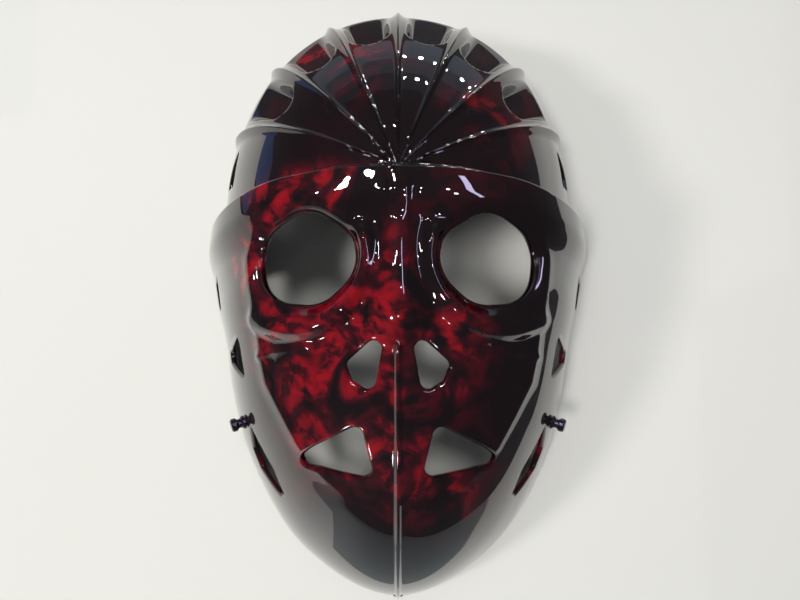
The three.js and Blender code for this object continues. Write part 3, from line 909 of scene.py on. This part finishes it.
def clouded_lacquer(colours):
    """Candy red clouds marbled over black under a deep clear coat, thickest mid-face, partly as painted
    light.
    """
    material, tree, shader = new_material("lacquer", LACQUER)
    place = tree.nodes.new("ShaderNodeTexCoord").outputs["Object"]
    parts = tree.nodes.new("ShaderNodeSeparateXYZ")
    tree.links.new(place, parts.inputs["Vector"])
    across, up = parts.outputs["X"], parts.outputs["Y"]
    # painted light as well as paint: more candy round the middles, on the lit left and the glossy brow
    lift = combine(tree, "MULTIPLY", sprayed_and_lit_face(tree, place, up), CLOUDS["spray_and_light"])
    patches = combine(tree, "ADD", noise(tree, place, PATCHES), lift)
    patches = stretch(tree, patches, PATCHES["low"], PATCHES["high"])
    blobs = stretch(tree, noise(tree, place, BLOBS), BLOBS["low"], BLOBS["high"])
    wisps = stretch(tree, noise(tree, place, WISPS), WISPS["low"], WISPS["high"])
    clouds = combine(tree, "MULTIPLY", combine(tree, "MULTIPLY", blobs, wisps), patches)
    # painted shade: no clouds close round the eye holes, so the sockets show black
    clouds = combine(tree, "MULTIPLY", clouds, clear_of_socket_shade(tree, across, up))
    colour_by(tree, clouds, shader, (0, colours.black), (CANDY_AT, colours.candy), (DEEP_AT, colours.deep))
    return material


def dark_metal(colours):
    """Glossy near-black metal, a little uneven."""
    material, tree, shader = new_material("stud", METAL)
    place = tree.nodes.new("ShaderNodeTexCoord").outputs["Object"]
    bright = [WEAR["brighter"] * part for part in colours.stud]
    colour_by(tree, noise(tree, place, WEAR), shader, (WEAR["low"], colours.stud), (WEAR["high"], bright))
    return material


def plain_finish(name, colour):
    """A plain dull finish, for the stage."""
    return new_material(name, {"Base Color": (*colour, 1), "Roughness": FLOOR_ROUGHNESS})[0]


# --- The stage ------------------------------------------------------------------------------------------


def hang_light(name, place, size, power, colour, shape="RECTANGLE"):
    """A light that faces the mask and isn't itself seen."""
    light = bpy.data.lights.new(name, "AREA")
    light.shape = shape
    light.size, light.size_y = size
    light.energy = power
    light.color = colour
    lamp = bpy.data.objects.new(name, light)
    lamp.location = place
    lamp.rotation_euler = (-lamp.location).to_track_quat("-Z", "Y").to_euler()
    lamp.visible_camera = False
    bpy.context.collection.objects.link(lamp)
    return lamp


def hang_lights():
    """The soft lights, and the small lamps and panels that only the lacquer shows."""
    for light in SOFT_LIGHTS:
        lamp = hang_light(**light, shape="DISK")
        lamp.visible_glossy = False
    for across, up in LAMPS:
        across, up = math.radians(across), math.radians(up)
        place = Vector((math.sin(across) * math.cos(up), math.cos(across) * math.cos(up), math.sin(up)))
        lamp = hang_light("lamp", LAMP["far"] * place, LAMP["size"], LAMP["power"], WHITE, "DISK")
        lamp.visible_diffuse = False
    for light in PANELS:
        lamp = hang_light(**light)
        lamp.visible_diffuse = False


def lay_plane(name, corners, material, height=0):
    """A flat level surface with the given corners, part of the stage."""
    mesh = bpy.data.meshes.new(name)
    mesh.from_pydata([(x, y, height) for x, y in corners], [], [range(len(corners))])
    mesh.materials.append(material)
    plane = bpy.data.objects.new(name, mesh)
    bpy.context.collection.objects.link(plane)
    return plane


def lay_floor(colours):
    """The pale floor, and the flat surfaces that the lacquer reflects in its place."""
    pale = plain_finish("pale_floor", colours.floor)
    half = FLOOR_SIZE / 2
    floor = lay_plane("floor", ((-half, -half), (half, -half), (half, half), (-half, half)), pale)
    floor.visible_glossy = False
    surfaces = (
        ("table_top", TABLE_CORNERS, pale),
        # the near end of the table is painted dark as the shadow that falls there
        ("shadowed_table_end", TABLE_SHADOW_CORNERS, plain_finish("table_shadow", TABLE_SHADOW_COLOUR)),
        ("card", CARD_CORNERS, plain_finish("blue_card", CARD_COLOUR)),
    )
    for name, corners, finish in surfaces:
        surface = lay_plane(name, corners, finish, TABLE_LIFT)
        surface.visible_camera = False
        surface.visible_diffuse = False
        surface.visible_shadow = False


def light_room(scene):
    """A dim even light from all round."""
    world = bpy.data.worlds.new("room")
    world.use_nodes = True
    world.node_tree.nodes["Background"].inputs["Color"].default_value = (*ROOM_COLOUR, 1)
    scene.world = world


def set_camera(scene):
    """A camera over the face, tilted up the mask."""
    lens = bpy.data.cameras.new("camera")
    lens.lens = CAMERA["lens"]
    lens.shift_x = CAMERA["shift"]
    lens.clip_start = CAMERA["clip_start"]
    camera = bpy.data.objects.new("camera", lens)
    tilt = math.radians(CAMERA["tilt"])
    aim = (CAMERA["aim"] + MIDDLE) * MM
    camera.location = (0, aim - CAMERA["distance"] * math.sin(tilt), CAMERA["distance"] * math.cos(tilt))
    camera.rotation_euler = (tilt, 0, 0)
    bpy.context.collection.objects.link(camera)
    scene.camera = camera
    scene.view_settings.view_transform = "Standard"


# --- The panel and its buttons --------------------------------------------------------------------------


class MaskSizes(bpy.types.PropertyGroup):
    """Sizes of the shell."""

    wall: bpy.props.FloatProperty(
        name="Wall",
        description="Thickness of the shell",
        default=3 * MM,
        unit="LENGTH",
    )
    brow_step: bpy.props.FloatProperty(
        name="Brow step",
        description="How far the face stands proud below the brow",
        default=6 * MM,
        unit="LENGTH",
    )
    goggle_height: bpy.props.FloatProperty(
        name="Goggle height",
        description="Height of the ring round each eye",
        default=3.8 * MM,
        unit="LENGTH",
    )
    rib_height: bpy.props.FloatProperty(
        name="Rib height",
        description="Height of the ribs over the forehead",
        default=2.4 * MM,
        unit="LENGTH",
    )
    scoop_depth: bpy.props.FloatProperty(
        name="Scoop depth",
        description="Depth of the scoops between the ribs",
        default=8 * MM,
        unit="LENGTH",
    )


class MaskColours(bpy.types.PropertyGroup):
    """Colours of the mask and of the stage."""

    black: bpy.props.FloatVectorProperty(
        name="Black",
        description="The ground under the clouds",
        default=(0.006, 0.002, 0.003),
        subtype="COLOR",
    )
    deep: bpy.props.FloatVectorProperty(
        name="Deep red",
        description="Where the clouds are thin",
        default=(0.05, 0.002, 0.006),
        subtype="COLOR",
    )
    candy: bpy.props.FloatVectorProperty(
        name="Candy",
        description="The brightest of the clouds",
        default=(0.27, 0.003, 0.01),
        subtype="COLOR",
    )
    stud: bpy.props.FloatVectorProperty(
        name="Stud",
        description="The studs and nuts",
        default=(0.02, 0.014, 0.028),
        subtype="COLOR",
    )
    floor: bpy.props.FloatVectorProperty(
        name="Floor",
        description="The pale floor",
        default=(0.8, 0.8, 0.78),
        subtype="COLOR",
    )


class MASK_OT_shell(bpy.types.Operator):
    """Model the lacquered shell"""

    bl_idname = "mask.shell"
    bl_label = "Shell"

    def execute(self, context):
        pattern = Pattern(context.scene.mask_sizes)
        piece = half_pattern()
        refine(piece, pattern)
        open_holes(piece, pattern)
        mirror_pattern(piece)
        thicken_pattern(piece)
        normals = shape_shell(piece, pattern)
        smooth_shell(piece, normals)
        thin_shell(piece)
        piece.name = "mask_shell"
        piece.data.materials.clear()
        piece.data.materials.append(clouded_lacquer(context.scene.mask_colours))
        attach(piece, "root")
        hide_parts("shell")
        return {"FINISHED"}


class MASK_OT_studs(bpy.types.Operator):
    """Finish the studs and nuts"""

    bl_idname = "mask.studs"
    bl_label = "Studs and nuts"

    def execute(self, context):
        metal = dark_metal(context.scene.mask_colours)
        studs = [node for name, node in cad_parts.items() if "stud" in name]
        if not studs:
            raise RuntimeError("The mask has no studs")
        for stud in studs:
            stud.data.materials.clear()
            stud.data.materials.append(metal)
        return {"FINISHED"}


class MASK_OT_stage(bpy.types.Operator):
    """Lay the pale floor, hang the lights and set the camera"""

    bl_idname = "mask.stage"
    bl_label = "Stage"

    def execute(self, context):
        lay_floor(context.scene.mask_colours)
        hang_lights()
        light_room(context.scene)
        set_camera(context.scene)
        return {"FINISHED"}


class MASK_PT_panel(bpy.types.Panel):
    """Lists the pieces in the sidebar"""

    bl_label = "Mask"
    bl_idname = "MASK_PT_panel"
    bl_space_type = "VIEW_3D"
    bl_region_type = "UI"
    bl_category = "Mask"

    def draw(self, context):
        for operator in OPERATORS:
            self.layout.operator(operator.bl_idname)


OPERATORS = (MASK_OT_shell, MASK_OT_studs, MASK_OT_stage)
CLASSES = (MaskSizes, MaskColours, *OPERATORS, MASK_PT_panel)


def register():
    for part in CLASSES:
        bpy.utils.register_class(part)
    bpy.types.Scene.mask_sizes = bpy.props.PointerProperty(type=MaskSizes)
    bpy.types.Scene.mask_colours = bpy.props.PointerProperty(type=MaskColours)


def unregister():
    del bpy.types.Scene.mask_colours
    del bpy.types.Scene.mask_sizes
    for part in reversed(CLASSES):
        bpy.utils.unregister_class(part)


def main():
    register()
    bpy.ops.mask.shell()
    bpy.ops.mask.studs()
    bpy.ops.mask.stage()


if __name__ == "__main__":
    main()
